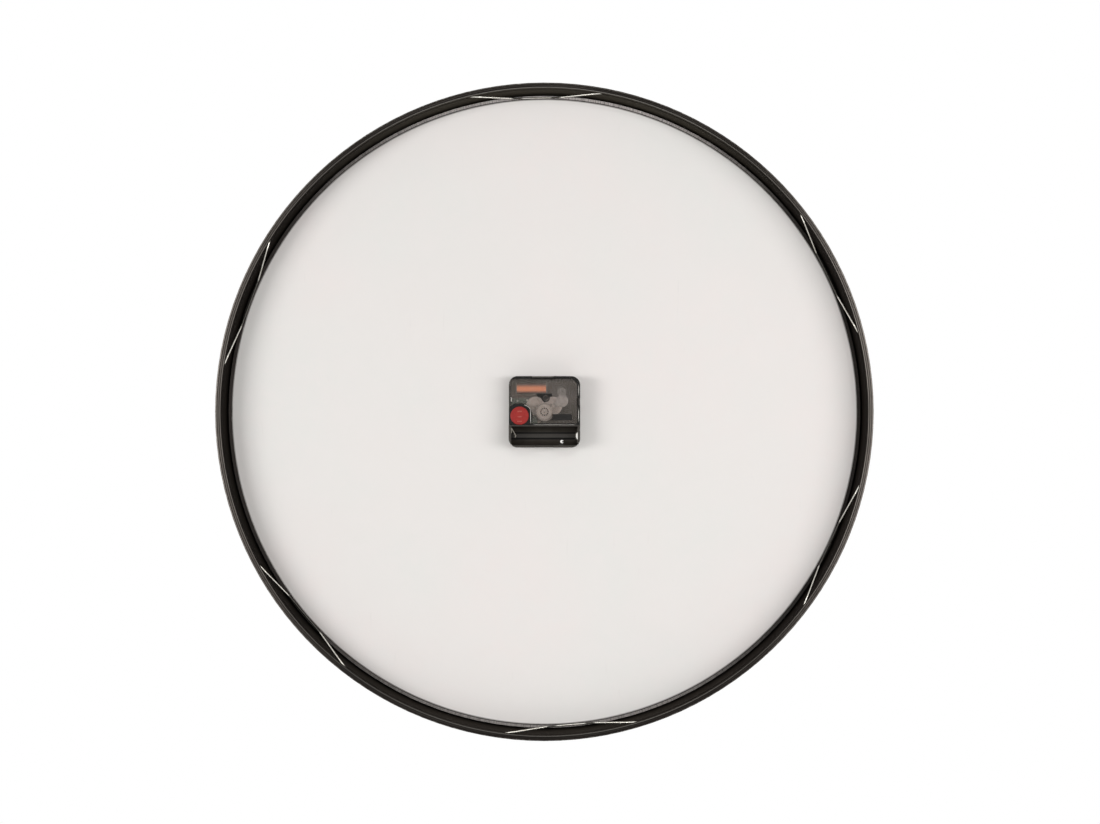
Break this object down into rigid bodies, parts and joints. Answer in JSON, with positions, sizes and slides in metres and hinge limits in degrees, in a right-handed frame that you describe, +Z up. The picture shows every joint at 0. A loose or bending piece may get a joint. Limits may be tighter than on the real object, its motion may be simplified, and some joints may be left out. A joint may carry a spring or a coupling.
{
  "type": "wall clock",
  "caption": "Round battery wall clock with a deep dark rim, white back board held by bent spring wires and a square quartz movement with gear train, setting knob and battery bay.",
  "frame": {"origin": "on the hand axis, in the plane of the wall that the back edge of the rim rests against", "axes": "+X to the right seen from the dial side, +Y from the dial to the wall, +Z up to twelve o'clock"},
  "size_m": [0.514, 0.046, 0.514],
  "materials": {
    "rim": "satin",
    "glass": "polished",
    "ring": "gloss",
    "board": "matte",
    "dial_sheet": "matte",
    "marker": "satin",
    "spring_wire": "satin",
    "base_plastic": "satin",
    "smoke_cover": "gloss",
    "brass": "satin",
    "circuit_green": "satin",
    "chip": "satin",
    "bright_metal": "satin",
    "bobbin": "satin",
    "copper": "satin",
    "motor_steel": "satin",
    "natural_nylon": "satin",
    "arbor_steel": "polished",
    "tube_plastic": "satin",
    "hand_black": "matte",
    "knob_red": "satin"
  },
  "bodies": {
    "case": {"rim": "rim", "front_glass": "glass", "dial_ring": "ring", "dial_board": "board", "dial_face": "dial_sheet", "hour_markers": "marker", "wire_clip_1": "spring_wire", "wire_clip_2": "spring_wire", "wire_clip_3": "spring_wire", "wire_clip_4": "spring_wire", "wire_clip_5": "spring_wire", "wire_clip_6": "spring_wire", "movement_base": "base_plastic", "movement_cover": "smoke_cover", "threaded_bush": "brass", "dial_washer": "brass", "dial_nut": "brass", "circuit_board": "circuit_green", "control_chip": "chip", "quartz_crystal": "bright_metal", "coil_bobbin": "bobbin", "coil_winding": "copper", "coil_core": "motor_steel", "stator": "motor_steel", "train_bridge": "natural_nylon", "positive_contact": "bright_metal", "negative_contact": "bright_metal", "contact_rivet": "bright_metal"},
    "minute": {"minute_cannon": "tube_plastic", "minute_wheel": "natural_nylon", "minute_hand": "hand_black"},
    "hour": {"hour_wheel": "natural_nylon", "hour_hand": "hand_black"},
    "second": {"second_arbor": "arbor_steel", "second_wheel": "natural_nylon", "second_hand": "hand_black"},
    "third": {"third_wheel": "natural_nylon"},
    "intermediate": {"intermediate_wheel": "natural_nylon"},
    "rotor": {"rotor_arbor": "natural_nylon", "rotor_magnet": "motor_steel"},
    "reverse": {"reverse_wheel": "natural_nylon"},
    "knob": {"setting_knob": "knob_red"}
  },
  "joints": [
    {"name": "minute_spin", "type": "hinge", "parent": "case", "child": "minute", "pos_m": [0, -0.02, 0], "axis": [0, 1, 0], "continuous": true},
    {"name": "hour_spin", "type": "hinge", "parent": "case", "child": "hour", "pos_m": [0, -0.02, 0], "axis": [0, 1, 0], "continuous": true},
    {"name": "second_spin", "type": "hinge", "parent": "case", "child": "second", "pos_m": [0, -0.02, 0], "axis": [0, 1, 0], "continuous": true},
    {"name": "third_spin", "type": "hinge", "parent": "case", "child": "third", "pos_m": [0.00706, -0.02, 0.00455], "axis": [0, 1, 0], "continuous": true},
    {"name": "intermediate_spin", "type": "hinge", "parent": "case", "child": "intermediate", "pos_m": [-0.00686, -0.02, 0.00468], "axis": [0, 1, 0], "continuous": true},
    {"name": "rotor_spin", "type": "hinge", "parent": "case", "child": "rotor", "pos_m": [-0.001, -0.02, 0.0107], "axis": [0, 1, 0], "continuous": true},
    {"name": "reverse_spin", "type": "hinge", "parent": "case", "child": "reverse", "pos_m": [0.00761, -0.02, -0.00356], "axis": [0, 1, 0], "continuous": true},
    {"name": "knob_spin", "type": "hinge", "parent": "case", "child": "knob", "pos_m": [0.0195, -0.02, -0.0031], "axis": [0, 1, 0], "continuous": true}
  ],
  "couplings": [
    {"joint": "hour_spin", "follows": "minute_spin", "ratio": 0.083333},
    {"joint": "second_spin", "follows": "minute_spin", "ratio": 60},
    {"joint": "third_spin", "follows": "minute_spin", "ratio": -8},
    {"joint": "intermediate_spin", "follows": "minute_spin", "ratio": -300},
    {"joint": "rotor_spin", "follows": "minute_spin", "ratio": 1800},
    {"joint": "reverse_spin", "follows": "minute_spin", "ratio": -0.33333},
    {"joint": "knob_spin", "follows": "minute_spin", "ratio": 0.375}
  ]
}
